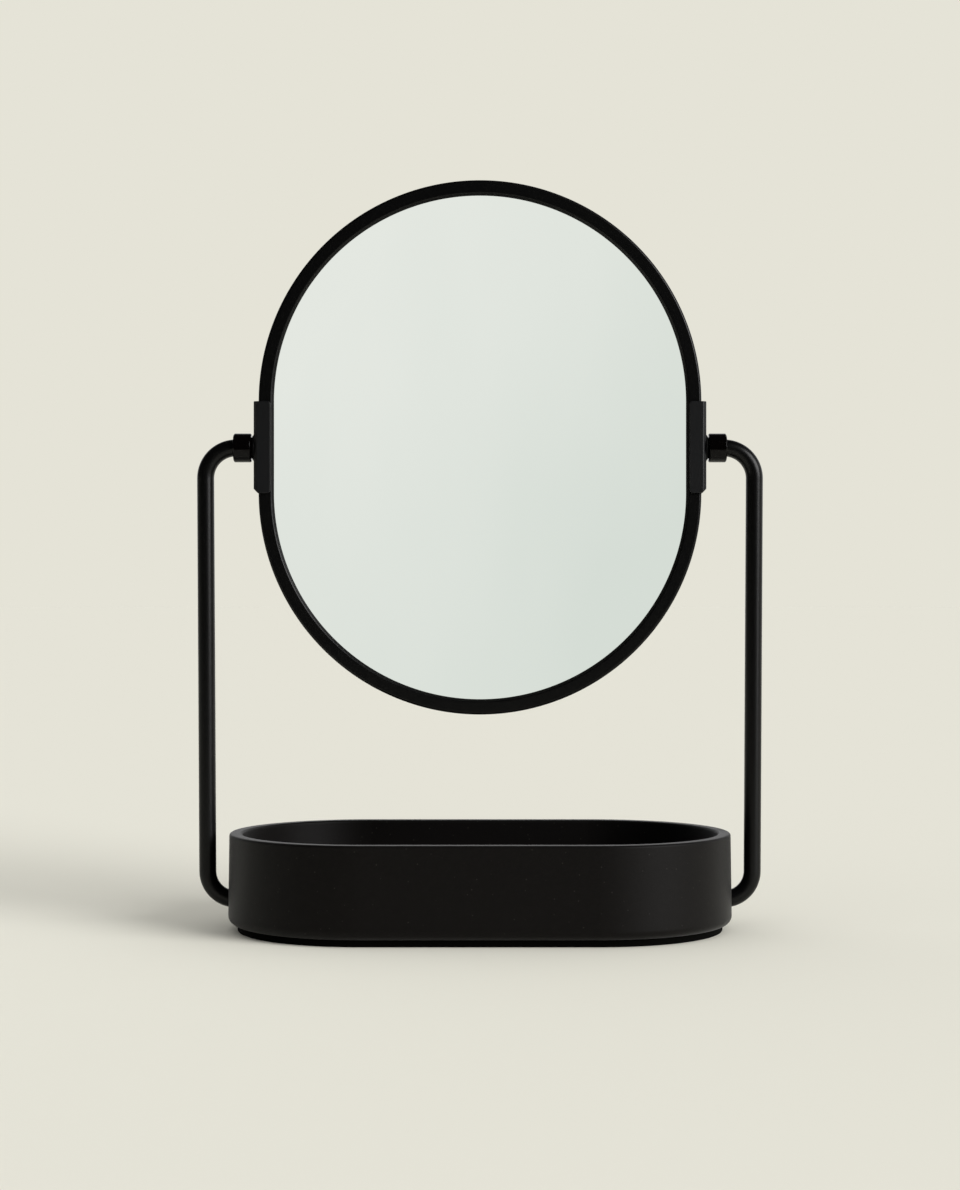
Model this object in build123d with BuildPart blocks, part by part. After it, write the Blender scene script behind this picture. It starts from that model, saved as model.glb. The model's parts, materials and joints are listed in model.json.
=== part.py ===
"""Table mirror on a tray base: an obround mirror that turns between two bent rod arms.

Millimetres. X runs along the tray, Y towards the back, Z up. The origin is the middle of the
foot pad's underside, so the mirror stands on Z = 0. The mirror turns on the X-parallel axis
at the height PIVOT_Z.
"""

from build123d import *
import os
from math import cos, radians, sin, sqrt, tan

# ---------------------------------------------------------------- driving dimensions
# Mirror head
MIRROR_WIDTH = 207.6            # outside of the frame, also the diameter of its round ends
MIRROR_STRAIGHT = 43.0          # flat stretch on each side, where the clips sit
HEAD_DEPTH = 11.0               # front face of the frame to back of the cover
FRAME_FLANGE = 1.5              # thickness of the front flange
FRAME_WALL = 1.5                # thickness of the side wall
FRAME_BEVEL = 1.3               # slope on the inner edge of the face
FRAME_OUTER_BEVEL = 0.8         # narrow bevel on the outer front edge
GLASS_THICKNESS = 3.0
GLASS_LAP = 1.4                 # how far the glass reaches behind the flange
GLASS_EDGE_GAP = 0.8            # glass edge to the pivot screws' heads
COVER_THICKNESS = 1.8
COVER_ROUNDING = 0.8            # rear outer edge of the cover
COVER_POST_GAP = 0.6            # post to the glass edge
COVER_POST_SINK = 0.1           # how far a post reaches into the side wall
COVER_SCREW_ANGLES = (30, 90, 150)   # on each round end, in degrees

# Side clips
CLIP_WEB = 2.2                  # thickness outside the frame
CLIP_FLANGE = 1.7               # thickness in front of and behind the frame
CLIP_REACH = 7.9                # along X, web included
CLIP_BEVEL = 1.5                # long bevel on the outer front and rear edges
CLIP_FOOT_CUT = 2.0             # cut corner at the lower end
CLIP_SCREW_INSET = 7.5          # from each end of the clip to its screw
CLIP_BOSS_WALL = 1.1            # round the screw
CLIP_BOSS_LENGTH = 2.6          # inside the frame's side wall

# Pivots
PIVOT_SHANK = 4.0               # diameter of the pivot screw
PIVOT_HEAD_ROOM = 0.2           # head to the back cover
PIVOT_HEAD_HEIGHT = 2.6
PIVOT_THREAD = 7.6              # length held in the arm
PIVOT_RUNNING_FIT = 0.06        # radial, clip on pivot screw
SPRING_WASHER_HEIGHT = 0.9
SPRING_WASHER_THICKNESS = 0.45
CONE_WASHER_BASE = 14.2
CONE_WASHER_TIP = 9.4
CONE_WASHER_THICKNESS = 1.4
SLEEVE_WALL = 2.75
SLEEVE_LENGTH = 8.4
SLEEVE_WEB = 1.8                # inner end of the sleeve, which the arm seats on
SLEEVE_CHAMFER = 0.5

# Arms
ROD_DIAMETER = 8.0
ROD_FIT = 0.06                  # radial, rod in sleeve and in tray socket
TOP_BEND = 14.3                 # centre line radius below the pivot
FOOT_BEND = 13.2                # centre line radius beside the tray
TOP_BEND_IN_SLEEVE = 0.9        # the bend starts this far inside the sleeve's mouth
ARM_LEAN = 1.2                  # each arm's foot stands this much nearer the middle
ARM_FOOT_Z = 14.0               # centre line of the rod where it enters the tray

# Tray
TRAY_DEPTH = 129.4              # front to back at the widest, also the round ends' diameter
TRAY_TOP = 45.6                 # rim above the table
TRAY_WALL = 6.0
TRAY_DRAFT = 0.8                # degrees, outside walls lean in towards the rim
POCKET_DRAFT = 1.0              # degrees, inside walls lean in towards the floor
POCKET_FLOOR_Z = 24.0
POCKET_FLOOR_ROUNDING = 3.0
FLOOR_THICKNESS = 2.8
RIM_ROUNDING = 1.2
TRAY_FOOT_ROUNDING = 4.0
END_GAP = 5.8                   # clear gap between the arm's upright and the tray's end
MIRROR_CLEARANCE = 55.3         # tray rim to the lowest point of the upright mirror

# Tray socket for the arm
SOCKET_LENGTH = 18.0            # straight rod inside the tray
SOCKET_WEB = 3.0                # inner end of the socket, which the rod seats on
SOCKET_WALL = 4.0
SOCKET_MOUTH_CLEARANCE = 0.1    # where the rod is still bending
ARM_SCREW = 5.0
ARM_SCREW_HEAD = 8.5
ARM_SCREW_HEAD_HEIGHT = 5.0
ARM_SCREW_GRIP = 10.0           # length held in the rod
ARM_WASHER_OD = 10.0
ARM_WASHER_THICKNESS = 1.0

# Underside
FOOT_PAD_THICKNESS = 3.3
FOOT_PAD_INSET = 4.4
FOOT_PAD_ROUNDING = 0.6
BOTTOM_COVER_THICKNESS = 2.5
BOTTOM_COVER_GAP = 0.3          # all round, inside the tray's wall
POST_RADIUS = 4.0
POST_INSET = 8.0                # from the inside of the tray's wall to a post's middle
POST_ANGLE = 45                 # of the four end posts, in degrees

# Small screws: shank and countersunk head diameters
COVER_SCREW = 2.2
COVER_SCREW_HEAD = 4.2
COVER_SCREW_LENGTH = 6.5
CLIP_SCREW = 3.0
CLIP_SCREW_HEAD = 5.4
CLIP_SCREW_LENGTH = 5.8
BOTTOM_SCREW = 3.0
BOTTOM_SCREW_HEAD = 5.8
BOTTOM_SCREW_LENGTH = 12.0
THREAD_FIT = 0.03               # radial, screw in its own thread
THREAD_RUNOUT = 0.5             # hole deeper than its screw
SCREW_CLEARANCE = 0.3           # radial, screw through a plain hole
HEAD_CLEARANCE = 0.1            # radial, flat head in its countersink
SINK_ANGLE = 90                 # countersink
PICK_BAND = 0.1                 # a face is picked by its height within this

# Screw drives, as shares of the head's diameter or height
CROSS_SPAN = 0.62
CROSS_SLOT = 0.16
CROSS_DEPTH = 0.7
HEX_RADIUS = 0.3
HEX_DEPTH = 0.5

# ---------------------------------------------------------------- worked out from them
MIRROR_HEIGHT = MIRROR_WIDTH + MIRROR_STRAIGHT
HALF_WIDTH = MIRROR_WIDTH / 2
PIVOT_Z = TRAY_TOP + MIRROR_CLEARANCE + MIRROR_HEIGHT / 2

HEAD_FRONT = -HEAD_DEPTH / 2
GLASS_FRONT = HEAD_FRONT + FRAME_FLANGE
GLASS_BACK = GLASS_FRONT + GLASS_THICKNESS
COVER_FRONT = HEAD_DEPTH / 2 - COVER_THICKNESS
HEAD_BACK = HEAD_DEPTH / 2
WALL_INSIDE = HALF_WIDTH - FRAME_WALL
PIVOT_HEAD_SEAT = WALL_INSIDE - SPRING_WASHER_HEIGHT
PIVOT_HEAD = 2 * (min(COVER_FRONT, -GLASS_FRONT) - PIVOT_HEAD_ROOM)
GLASS_WIDTH = 2 * (PIVOT_HEAD_SEAT - PIVOT_HEAD_HEIGHT - GLASS_EDGE_GAP)
OPENING_WIDTH = GLASS_WIDTH - 2 * GLASS_LAP
EDGE_ROOM = WALL_INSIDE - GLASS_WIDTH / 2
COVER_POST_RADIUS = (EDGE_ROOM - COVER_POST_GAP + COVER_POST_SINK) / 2
CLIP_BOSS_RADIUS = CLIP_SCREW / 2 + CLIP_BOSS_WALL

CLIP_HEIGHT = MIRROR_STRAIGHT
CLIP_DEPTH = HEAD_DEPTH + 2 * CLIP_FLANGE
CLIP_OUTSIDE = HALF_WIDTH + CLIP_WEB
SLEEVE_INSIDE = CLIP_OUTSIDE + CONE_WASHER_THICKNESS
SLEEVE_OUTSIDE = SLEEVE_INSIDE + SLEEVE_LENGTH
SLEEVE_SEAT = SLEEVE_INSIDE + SLEEVE_WEB
ROD_RADIUS = ROD_DIAMETER / 2
SLEEVE_RADIUS = ROD_RADIUS + ROD_FIT + SLEEVE_WALL

ARM_TOP_X = SLEEVE_OUTSIDE - TOP_BEND_IN_SLEEVE + TOP_BEND
ARM_FOOT_X = ARM_TOP_X - ARM_LEAN
TRAY_LENGTH = 2 * (ARM_FOOT_X - ROD_RADIUS - END_GAP)

TRAY_BOTTOM = FOOT_PAD_THICKNESS
TRAY_RISE = TRAY_TOP - TRAY_BOTTOM
RIM_INSET = TRAY_RISE * tan(radians(TRAY_DRAFT))
FLOOR_UNDERSIDE = POCKET_FLOOR_Z - FLOOR_THICKNESS
BOTTOM_COVER_TOP = TRAY_BOTTOM + BOTTOM_COVER_THICKNESS

SOCKET_MOUTH_X = ARM_FOOT_X - FOOT_BEND          # the rod is straight from here inwards
SOCKET_SEAT_X = SOCKET_MOUTH_X - SOCKET_LENGTH
SOCKET_INNER_X = SOCKET_SEAT_X - SOCKET_WEB
SOCKET_RADIUS = ROD_RADIUS + ROD_FIT
SOCKET_WIDTH = 2 * (SOCKET_RADIUS + SOCKET_WALL)
BEND_IN_WALL = TRAY_LENGTH / 2 - SOCKET_MOUTH_X
ROD_RISE = FOOT_BEND - sqrt((FOOT_BEND - ROD_RADIUS) ** 2 - BEND_IN_WALL**2)
SOCKET_MOUTH_RADIUS = ROD_RISE + SOCKET_MOUTH_CLEARANCE   # clears the rod's top at the wall's face

SIDES = {"left": -1, "right": 1}


# ---------------------------------------------------------------- planes and small helpers
def level(z):
    """Horizontal plane at height z."""
    return Plane.XY.offset(z)


def head_plane(y):
    """Upright plane at depth y through the pivot axis, facing the front."""
    return Plane(origin=(0, y, PIVOT_Z), x_dir=(1, 0, 0), z_dir=(0, -1, 0))


def side_plane(x, z, facing):
    """Upright plane across the X axis; facing is +1 or -1 along X."""
    return Plane(origin=(x, 0, z), z_dir=(facing, 0, 0))


def end_arc_points(radius):
    """Screw places along both round ends of the mirror, at this radius from each centre."""
    points = []
    for end in (1, -1):
        for angle in COVER_SCREW_ANGLES:
            along = radius * sin(radians(angle)) + MIRROR_STRAIGHT / 2
            points.append((radius * cos(radians(angle)), end * along))
    return points


def countersunk_screws(seats, shank, head, length):
    """Screws with flat heads. Each seat is the plane of the head's top, facing out."""
    head_height = (head - shank) / 2
    with BuildPart() as screws:
        with Locations(*seats):
            Cone(shank / 2, head / 2, head_height, align=(Align.CENTER, Align.CENTER, Align.MAX))
            Cylinder(shank / 2, length, align=(Align.CENTER, Align.CENTER, Align.MAX))
        with BuildSketch(*seats):
            SlotOverall(CROSS_SPAN * head, CROSS_SLOT * head)
            SlotOverall(CROSS_SPAN * head, CROSS_SLOT * head, rotation=90)
        extrude(amount=-CROSS_DEPTH * head_height, mode=Mode.SUBTRACT)
    return screws


def cap_screws(seats, shank, head, head_height, length):
    """Screws with round heads and a hexagon socket. Each seat is the plane under the head."""
    with BuildPart() as screws:
        with Locations(*seats):
            Cylinder(head / 2, head_height, align=(Align.CENTER, Align.CENTER, Align.MIN))
            Cylinder(shank / 2, length, align=(Align.CENTER, Align.CENTER, Align.MAX))
        with BuildSketch(*[seat.offset(head_height) for seat in seats]):
            RegularPolygon(HEX_RADIUS * head, 6)
        extrude(amount=-HEX_DEPTH * head_height, mode=Mode.SUBTRACT)
    return screws


# ---------------------------------------------------------------- tray base
post_line = TRAY_DEPTH / 2 - TRAY_WALL - POST_INSET
end_post_x = (TRAY_LENGTH - TRAY_DEPTH) / 2 + post_line * cos(radians(POST_ANGLE))
end_post_y = post_line * sin(radians(POST_ANGLE))
post_places = [(0, post_line), (0, -post_line)]
post_places += [(x, y) for x in (-end_post_x, end_post_x) for y in (-end_post_y, end_post_y)]

with BuildPart() as tray_body:
    with BuildSketch(level(TRAY_BOTTOM)):
        SlotOverall(TRAY_LENGTH, TRAY_DEPTH)
    extrude(amount=TRAY_RISE, taper=TRAY_DRAFT)
    fillet(tray_body.faces().sort_by(Axis.Z)[0].edges(), TRAY_FOOT_ROUNDING)

    # Open pocket on top, with a round corner to its floor and an eased rim
    with BuildSketch(Plane(origin=(0, 0, TRAY_TOP), z_dir=(0, 0, -1))):
        SlotOverall(TRAY_LENGTH - 2 * (RIM_INSET + TRAY_WALL), TRAY_DEPTH - 2 * (RIM_INSET + TRAY_WALL))
    extrude(amount=TRAY_TOP - POCKET_FLOOR_Z, taper=POCKET_DRAFT, mode=Mode.SUBTRACT)
    floor_band = (POCKET_FLOOR_Z - PICK_BAND, POCKET_FLOOR_Z + PICK_BAND)
    pocket_floor = tray_body.faces().filter_by_position(Axis.Z, *floor_band)
    fillet(pocket_floor.edges(), POCKET_FLOOR_ROUNDING)
    fillet(tray_body.faces().sort_by(Axis.Z)[-1].edges(), RIM_ROUNDING)

    # Hollow underneath
    with BuildSketch(level(TRAY_BOTTOM)):
        SlotOverall(TRAY_LENGTH - 2 * TRAY_WALL, TRAY_DEPTH - 2 * TRAY_WALL)
    extrude(amount=FLOOR_UNDERSIDE - TRAY_BOTTOM, mode=Mode.SUBTRACT)

    # Sockets for the arms and posts for the bottom cover, hanging from the floor
    socket_reach = TRAY_LENGTH / 2 - TRAY_WALL / 2 - SOCKET_INNER_X
    with BuildSketch(level(BOTTOM_COVER_TOP)):
        for sign in SIDES.values():
            with Locations((sign * (SOCKET_INNER_X + socket_reach / 2), 0)):
                Rectangle(socket_reach, SOCKET_WIDTH)
        with Locations(*post_places):
            Circle(POST_RADIUS)
    extrude(amount=FLOOR_UNDERSIDE - BOTTOM_COVER_TOP)

    for sign in SIDES.values():
        with BuildSketch(side_plane(sign * SOCKET_SEAT_X, ARM_FOOT_Z, sign)):
            Circle(SOCKET_RADIUS)
        extrude(amount=TRAY_LENGTH / 2, mode=Mode.SUBTRACT)
        with BuildSketch(side_plane(sign * SOCKET_MOUTH_X, ARM_FOOT_Z, sign)):
            Circle(SOCKET_MOUTH_RADIUS)
        extrude(amount=TRAY_LENGTH / 2, mode=Mode.SUBTRACT)
        with BuildSketch(side_plane(sign * SOCKET_SEAT_X, ARM_FOOT_Z, -sign)):
            Circle(ARM_SCREW / 2 + SCREW_CLEARANCE)
        extrude(amount=2 * SOCKET_WEB, mode=Mode.SUBTRACT)

    # Pilot holes in the posts
    with BuildSketch(level(BOTTOM_COVER_TOP)):
        with Locations(*post_places):
            Circle(BOTTOM_SCREW / 2 + THREAD_FIT)
    extrude(amount=BOTTOM_SCREW_LENGTH - BOTTOM_COVER_THICKNESS + THREAD_RUNOUT, mode=Mode.SUBTRACT)

bottom_seats = [Plane(origin=(x, y, TRAY_BOTTOM), z_dir=(0, 0, -1)) for x, y in post_places]

with BuildPart() as bottom_cover:
    with BuildSketch(level(TRAY_BOTTOM)):
        inset = 2 * (TRAY_WALL + BOTTOM_COVER_GAP)
        SlotOverall(TRAY_LENGTH - inset, TRAY_DEPTH - inset)
    extrude(amount=BOTTOM_COVER_THICKNESS)
    with Locations(*bottom_seats):
        CounterSinkHole(
            BOTTOM_SCREW / 2 + SCREW_CLEARANCE,
            BOTTOM_SCREW_HEAD / 2 + HEAD_CLEARANCE,
            counter_sink_angle=SINK_ANGLE,
        )

bottom_cover_screws = countersunk_screws(
    bottom_seats, BOTTOM_SCREW, BOTTOM_SCREW_HEAD, BOTTOM_SCREW_LENGTH
)

with BuildPart() as foot_pad:
    with BuildSketch(level(0)):
        SlotOverall(TRAY_LENGTH - 2 * FOOT_PAD_INSET, TRAY_DEPTH - 2 * FOOT_PAD_INSET)
    extrude(amount=FOOT_PAD_THICKNESS)
    fillet(foot_pad.faces().sort_by(Axis.Z)[0].edges(), FOOT_PAD_ROUNDING)


# ---------------------------------------------------------------- arms and their fastenings
def bent_arm(sign):
    """One rod: out of the tray, up, and back in to the pivot."""
    with BuildPart() as arm:
        with BuildLine(Plane.XZ) as route:
            FilletPolyline(
                (sign * SOCKET_SEAT_X, ARM_FOOT_Z),
                (sign * ARM_FOOT_X, ARM_FOOT_Z),
                (sign * ARM_TOP_X, PIVOT_Z),
                (sign * SLEEVE_SEAT, PIVOT_Z),
                radius=[FOOT_BEND, TOP_BEND],
            )
        with BuildSketch(Plane(origin=route.line @ 0, z_dir=route.line % 0)):
            Circle(ROD_RADIUS)
        sweep(path=route.line)
        with Locations(side_plane(sign * SOCKET_SEAT_X, ARM_FOOT_Z, -sign)):
            Hole(ARM_SCREW / 2 + THREAD_FIT, depth=ARM_SCREW_GRIP + THREAD_RUNOUT)
        with Locations(side_plane(sign * SLEEVE_SEAT, PIVOT_Z, -sign)):
            Hole(PIVOT_SHANK / 2 + THREAD_FIT, depth=PIVOT_THREAD + THREAD_RUNOUT)
    return arm


arm_screw_seats = [
    side_plane(sign * (SOCKET_INNER_X - ARM_WASHER_THICKNESS), ARM_FOOT_Z, -sign)
    for sign in SIDES.values()
]
arm_screws = cap_screws(
    arm_screw_seats,
    ARM_SCREW,
    ARM_SCREW_HEAD,
    ARM_SCREW_HEAD_HEIGHT,
    ARM_WASHER_THICKNESS + SOCKET_WEB + ARM_SCREW_GRIP,
)

with BuildPart() as arm_washers:
    with Locations(*arm_screw_seats):
        Cylinder(ARM_WASHER_OD / 2, ARM_WASHER_THICKNESS, align=(Align.CENTER, Align.CENTER, Align.MAX))
    with Locations(*arm_screw_seats):
        Hole(ARM_SCREW / 2 + SCREW_CLEARANCE, depth=ARM_WASHER_THICKNESS)


# ---------------------------------------------------------------- pivots
def pivot_sleeve(sign):
    """Plain round sleeve on the end of an arm, closed towards the mirror but for the screw."""
    mouth = side_plane(sign * SLEEVE_OUTSIDE, PIVOT_Z, sign)
    with BuildPart() as sleeve:
        with BuildSketch(mouth):
            Circle(SLEEVE_RADIUS)
        extrude(amount=-SLEEVE_LENGTH)
        chamfer(sleeve.edges(), SLEEVE_CHAMFER)
        with Locations(mouth):
            Hole(ROD_RADIUS + ROD_FIT, depth=SLEEVE_LENGTH - SLEEVE_WEB)
            Hole(PIVOT_SHANK / 2 + SCREW_CLEARANCE, depth=SLEEVE_LENGTH)
        mouth_edges = sleeve.edges().filter_by(GeomType.CIRCLE).group_by(Axis.X)[-1 if sign > 0 else 0]
        chamfer(mouth_edges.sort_by(SortBy.RADIUS)[0], SLEEVE_CHAMFER)
    return sleeve


def cone_washer(sign):
    """Tapered friction washer between clip and sleeve, wide side on the clip."""
    seat = side_plane(sign * CLIP_OUTSIDE, PIVOT_Z, sign)
    with BuildPart() as washer:
        with Locations(seat):
            Cone(
                CONE_WASHER_BASE / 2,
                CONE_WASHER_TIP / 2,
                CONE_WASHER_THICKNESS,
                align=(Align.CENTER, Align.CENTER, Align.MIN),
            )
            Cylinder(
                PIVOT_SHANK / 2 + PIVOT_RUNNING_FIT,
                CONE_WASHER_THICKNESS,
                align=(Align.CENTER, Align.CENTER, Align.MIN),
                mode=Mode.SUBTRACT,
            )
    return washer


with BuildPart() as spring_washers:
    for sign in SIDES.values():
        with BuildSketch(Plane.XZ):
            with BuildLine():
                outer = PIVOT_Z + PIVOT_HEAD / 2
                inner = PIVOT_Z + PIVOT_SHANK / 2 + SCREW_CLEARANCE
                base = sign * PIVOT_HEAD_SEAT
                rise = sign * (SPRING_WASHER_HEIGHT - SPRING_WASHER_THICKNESS)
                sheet = sign * SPRING_WASHER_THICKNESS
                Polyline(
                    (base, inner),
                    (base + rise, outer),
                    (base + rise + sheet, outer),
                    (base + sheet, inner),
                    close=True,
                )
            make_face()
        revolve(axis=Axis((0, 0, PIVOT_Z), (1, 0, 0)))

pivot_screws = cap_screws(
    [side_plane(sign * PIVOT_HEAD_SEAT, PIVOT_Z, -sign) for sign in SIDES.values()],
    PIVOT_SHANK,
    PIVOT_HEAD,
    PIVOT_HEAD_HEIGHT,
    SLEEVE_SEAT - PIVOT_HEAD_SEAT + PIVOT_THREAD,
)

# ---------------------------------------------------------------- mirror head
cover_screw_radius = WALL_INSIDE - COVER_POST_RADIUS + COVER_POST_SINK
cover_screw_points = end_arc_points(cover_screw_radius)
clip_screw_heights = [
    PIVOT_Z - CLIP_HEIGHT / 2 + CLIP_SCREW_INSET,
    PIVOT_Z + CLIP_HEIGHT / 2 - CLIP_SCREW_INSET,
]

with BuildPart() as mirror_frame:
    with BuildSketch(head_plane(COVER_FRONT)):
        SlotOverall(MIRROR_HEIGHT, MIRROR_WIDTH, rotation=90)
    extrude(amount=COVER_FRONT - HEAD_FRONT)
    chamfer(mirror_frame.faces().sort_by(Axis.Y)[0].edges(), FRAME_OUTER_BEVEL)

    with BuildSketch(head_plane(COVER_FRONT)):
        SlotOverall(MIRROR_HEIGHT - 2 * FRAME_WALL, MIRROR_WIDTH - 2 * FRAME_WALL, rotation=90)
    extrude(amount=COVER_FRONT - GLASS_FRONT, mode=Mode.SUBTRACT)
    with BuildSketch(head_plane(GLASS_FRONT)):
        SlotOverall(OPENING_WIDTH + MIRROR_STRAIGHT, OPENING_WIDTH, rotation=90)
    extrude(amount=FRAME_FLANGE, mode=Mode.SUBTRACT)
    opening_edges = mirror_frame.faces().sort_by(Axis.Y)[0].inner_wires()[0].edges()
    chamfer(opening_edges, FRAME_BEVEL)

    # Posts for the cover's screws
    with BuildSketch(head_plane(COVER_FRONT)):
        with Locations(*cover_screw_points):
            Circle(COVER_POST_RADIUS)
    extrude(amount=COVER_FRONT - GLASS_FRONT)
    with BuildSketch(head_plane(COVER_FRONT)):
        with Locations(*cover_screw_points):
            Circle(COVER_SCREW / 2 + THREAD_FIT)
    extrude(amount=COVER_SCREW_LENGTH - COVER_THICKNESS + THREAD_RUNOUT, mode=Mode.SUBTRACT)

    # Bosses for the clips' screws, and the holes through the side walls
    for sign in SIDES.values():
        for height in clip_screw_heights:
            with BuildSketch(side_plane(sign * (WALL_INSIDE - CLIP_BOSS_LENGTH), height, sign)):
                Circle(CLIP_BOSS_RADIUS)
            extrude(amount=CLIP_BOSS_LENGTH + FRAME_WALL / 2)
            with Locations(side_plane(sign * HALF_WIDTH, height, sign)):
                Hole(CLIP_SCREW / 2 + THREAD_FIT, depth=FRAME_WALL + CLIP_BOSS_LENGTH)
        with Locations(side_plane(sign * HALF_WIDTH, PIVOT_Z, sign)):
            Hole(PIVOT_SHANK / 2 + SCREW_CLEARANCE, depth=FRAME_WALL)

with BuildPart() as mirror_glass:
    with BuildSketch(head_plane(GLASS_BACK)):
        SlotOverall(GLASS_WIDTH + MIRROR_STRAIGHT, GLASS_WIDTH, rotation=90)
    extrude(amount=GLASS_THICKNESS)

with BuildPart() as backing_foam:
    with BuildSketch(head_plane(COVER_FRONT)):
        SlotOverall(GLASS_WIDTH + MIRROR_STRAIGHT, GLASS_WIDTH, rotation=90)
    extrude(amount=COVER_FRONT - GLASS_BACK)

with BuildPart() as back_cover:
    with BuildSketch(head_plane(HEAD_BACK)):
        SlotOverall(MIRROR_HEIGHT, MIRROR_WIDTH, rotation=90)
    extrude(amount=COVER_THICKNESS)
    fillet(back_cover.faces().sort_by(Axis.Y)[-1].edges(), COVER_ROUNDING)
    cover_screw_seats = [
        Plane(origin=(x, HEAD_BACK, PIVOT_Z + z), z_dir=(0, 1, 0)) for x, z in cover_screw_points
    ]
    with Locations(*cover_screw_seats):
        CounterSinkHole(
            COVER_SCREW / 2 + SCREW_CLEARANCE,
            COVER_SCREW_HEAD / 2 + HEAD_CLEARANCE,
            counter_sink_angle=SINK_ANGLE,
        )

back_cover_screws = countersunk_screws(
    cover_screw_seats, COVER_SCREW, COVER_SCREW_HEAD, COVER_SCREW_LENGTH
)


def side_clip(sign):
    """U-shaped clip over the frame and cover, which carries the mirror on the pivot screw."""
    inner_x = CLIP_OUTSIDE - CLIP_REACH
    with BuildPart() as clip:
        with BuildSketch(level(PIVOT_Z - CLIP_HEIGHT / 2)):
            with Locations((sign * (CLIP_OUTSIDE + inner_x) / 2, 0)):
                Rectangle(CLIP_REACH, CLIP_DEPTH)
            with Locations((sign * (HALF_WIDTH + inner_x) / 2, 0)):
                Rectangle(CLIP_REACH - CLIP_WEB, HEAD_DEPTH, mode=Mode.SUBTRACT)
        extrude(amount=CLIP_HEIGHT)
        outer_face = clip.faces().sort_by(Axis.X)[-1 if sign > 0 else 0]
        chamfer(outer_face.edges().filter_by(Axis.Z), CLIP_BEVEL)
        outer_face = clip.faces().sort_by(Axis.X)[-1 if sign > 0 else 0]
        chamfer(outer_face.edges().filter_by(Axis.Y).sort_by(Axis.Z)[0], CLIP_FOOT_CUT)
        with Locations(side_plane(sign * CLIP_OUTSIDE, PIVOT_Z, sign)):
            Hole(PIVOT_SHANK / 2 + PIVOT_RUNNING_FIT, depth=CLIP_WEB)
        with Locations(*[side_plane(sign * CLIP_OUTSIDE, height, sign) for height in clip_screw_heights]):
            CounterSinkHole(
                CLIP_SCREW / 2 + SCREW_CLEARANCE,
                CLIP_SCREW_HEAD / 2 + HEAD_CLEARANCE,
                depth=CLIP_WEB,
                counter_sink_angle=SINK_ANGLE,
            )
    return clip


clip_screws = countersunk_screws(
    [
        side_plane(sign * CLIP_OUTSIDE, height, sign)
        for sign in SIDES.values()
        for height in clip_screw_heights
    ],
    CLIP_SCREW,
    CLIP_SCREW_HEAD,
    CLIP_SCREW_LENGTH,
)

# ---------------------------------------------------------------- every piece, by name
pieces = {
    "tray_body": tray_body,
    "bottom_cover": bottom_cover,
    "bottom_cover_screws": bottom_cover_screws,
    "foot_pad": foot_pad,
    "arm_screws": arm_screws,
    "arm_washers": arm_washers,
    "spring_washers": spring_washers,
    "pivot_screws": pivot_screws,
    "mirror_frame": mirror_frame,
    "mirror_glass": mirror_glass,
    "backing_foam": backing_foam,
    "back_cover": back_cover,
    "back_cover_screws": back_cover_screws,
    "clip_screws": clip_screws,
}
for side, sign in SIDES.items():
    pieces[side + "_arm"] = bent_arm(sign)
    pieces[side + "_pivot_sleeve"] = pivot_sleeve(sign)
    pieces[side + "_cone_washer"] = cone_washer(sign)
    pieces[side + "_clip"] = side_clip(sign)

os.makedirs("parts", exist_ok=True)
for name, piece in pieces.items():
    piece.part.label = name
    export_step(piece.part, f"parts/{name}.step")
    print(name, len(piece.part.solids()), "solid(s)")
print("pivot height", round(PIVOT_Z, 2), "tray length", round(TRAY_LENGTH, 2))
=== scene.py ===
# %% [markdown]
# # A table mirror on a tray base
#
# This lesson gives a finished look to a table mirror: a round-ended mirror that turns between two
# bent rods, which rise from the ends of a round-ended tray. The pieces that carry and hold each
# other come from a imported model, in metres, and stay where they are. Here they get their finish,
# and the ones that need softer edges are made again in the same places.

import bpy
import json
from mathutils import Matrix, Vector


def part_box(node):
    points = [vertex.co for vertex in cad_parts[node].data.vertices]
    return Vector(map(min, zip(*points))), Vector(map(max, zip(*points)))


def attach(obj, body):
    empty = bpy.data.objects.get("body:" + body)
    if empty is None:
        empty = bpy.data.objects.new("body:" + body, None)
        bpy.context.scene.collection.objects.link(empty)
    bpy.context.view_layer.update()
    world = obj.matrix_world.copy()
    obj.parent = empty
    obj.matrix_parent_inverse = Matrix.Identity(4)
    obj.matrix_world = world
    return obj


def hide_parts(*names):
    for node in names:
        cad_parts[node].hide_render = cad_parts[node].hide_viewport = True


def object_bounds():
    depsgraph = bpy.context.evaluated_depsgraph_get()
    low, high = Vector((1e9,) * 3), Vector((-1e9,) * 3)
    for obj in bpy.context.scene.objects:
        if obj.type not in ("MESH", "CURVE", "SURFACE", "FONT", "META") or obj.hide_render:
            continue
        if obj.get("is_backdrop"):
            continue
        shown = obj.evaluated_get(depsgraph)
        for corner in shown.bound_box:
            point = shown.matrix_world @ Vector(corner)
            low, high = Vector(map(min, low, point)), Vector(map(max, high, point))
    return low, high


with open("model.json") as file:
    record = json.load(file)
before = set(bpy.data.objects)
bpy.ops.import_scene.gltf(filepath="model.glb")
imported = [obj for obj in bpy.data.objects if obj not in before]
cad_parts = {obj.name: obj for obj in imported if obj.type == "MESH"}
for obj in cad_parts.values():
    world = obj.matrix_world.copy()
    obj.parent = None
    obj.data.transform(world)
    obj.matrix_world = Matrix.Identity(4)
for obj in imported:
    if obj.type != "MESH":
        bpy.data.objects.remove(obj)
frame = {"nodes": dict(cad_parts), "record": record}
cad_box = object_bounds()
print("pieces in the model:", len(frame["nodes"]))

# %% Other modules
import json
from math import cos, pi, radians, sin

import bmesh
import bpy
from mathutils import Matrix, Vector

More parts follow.
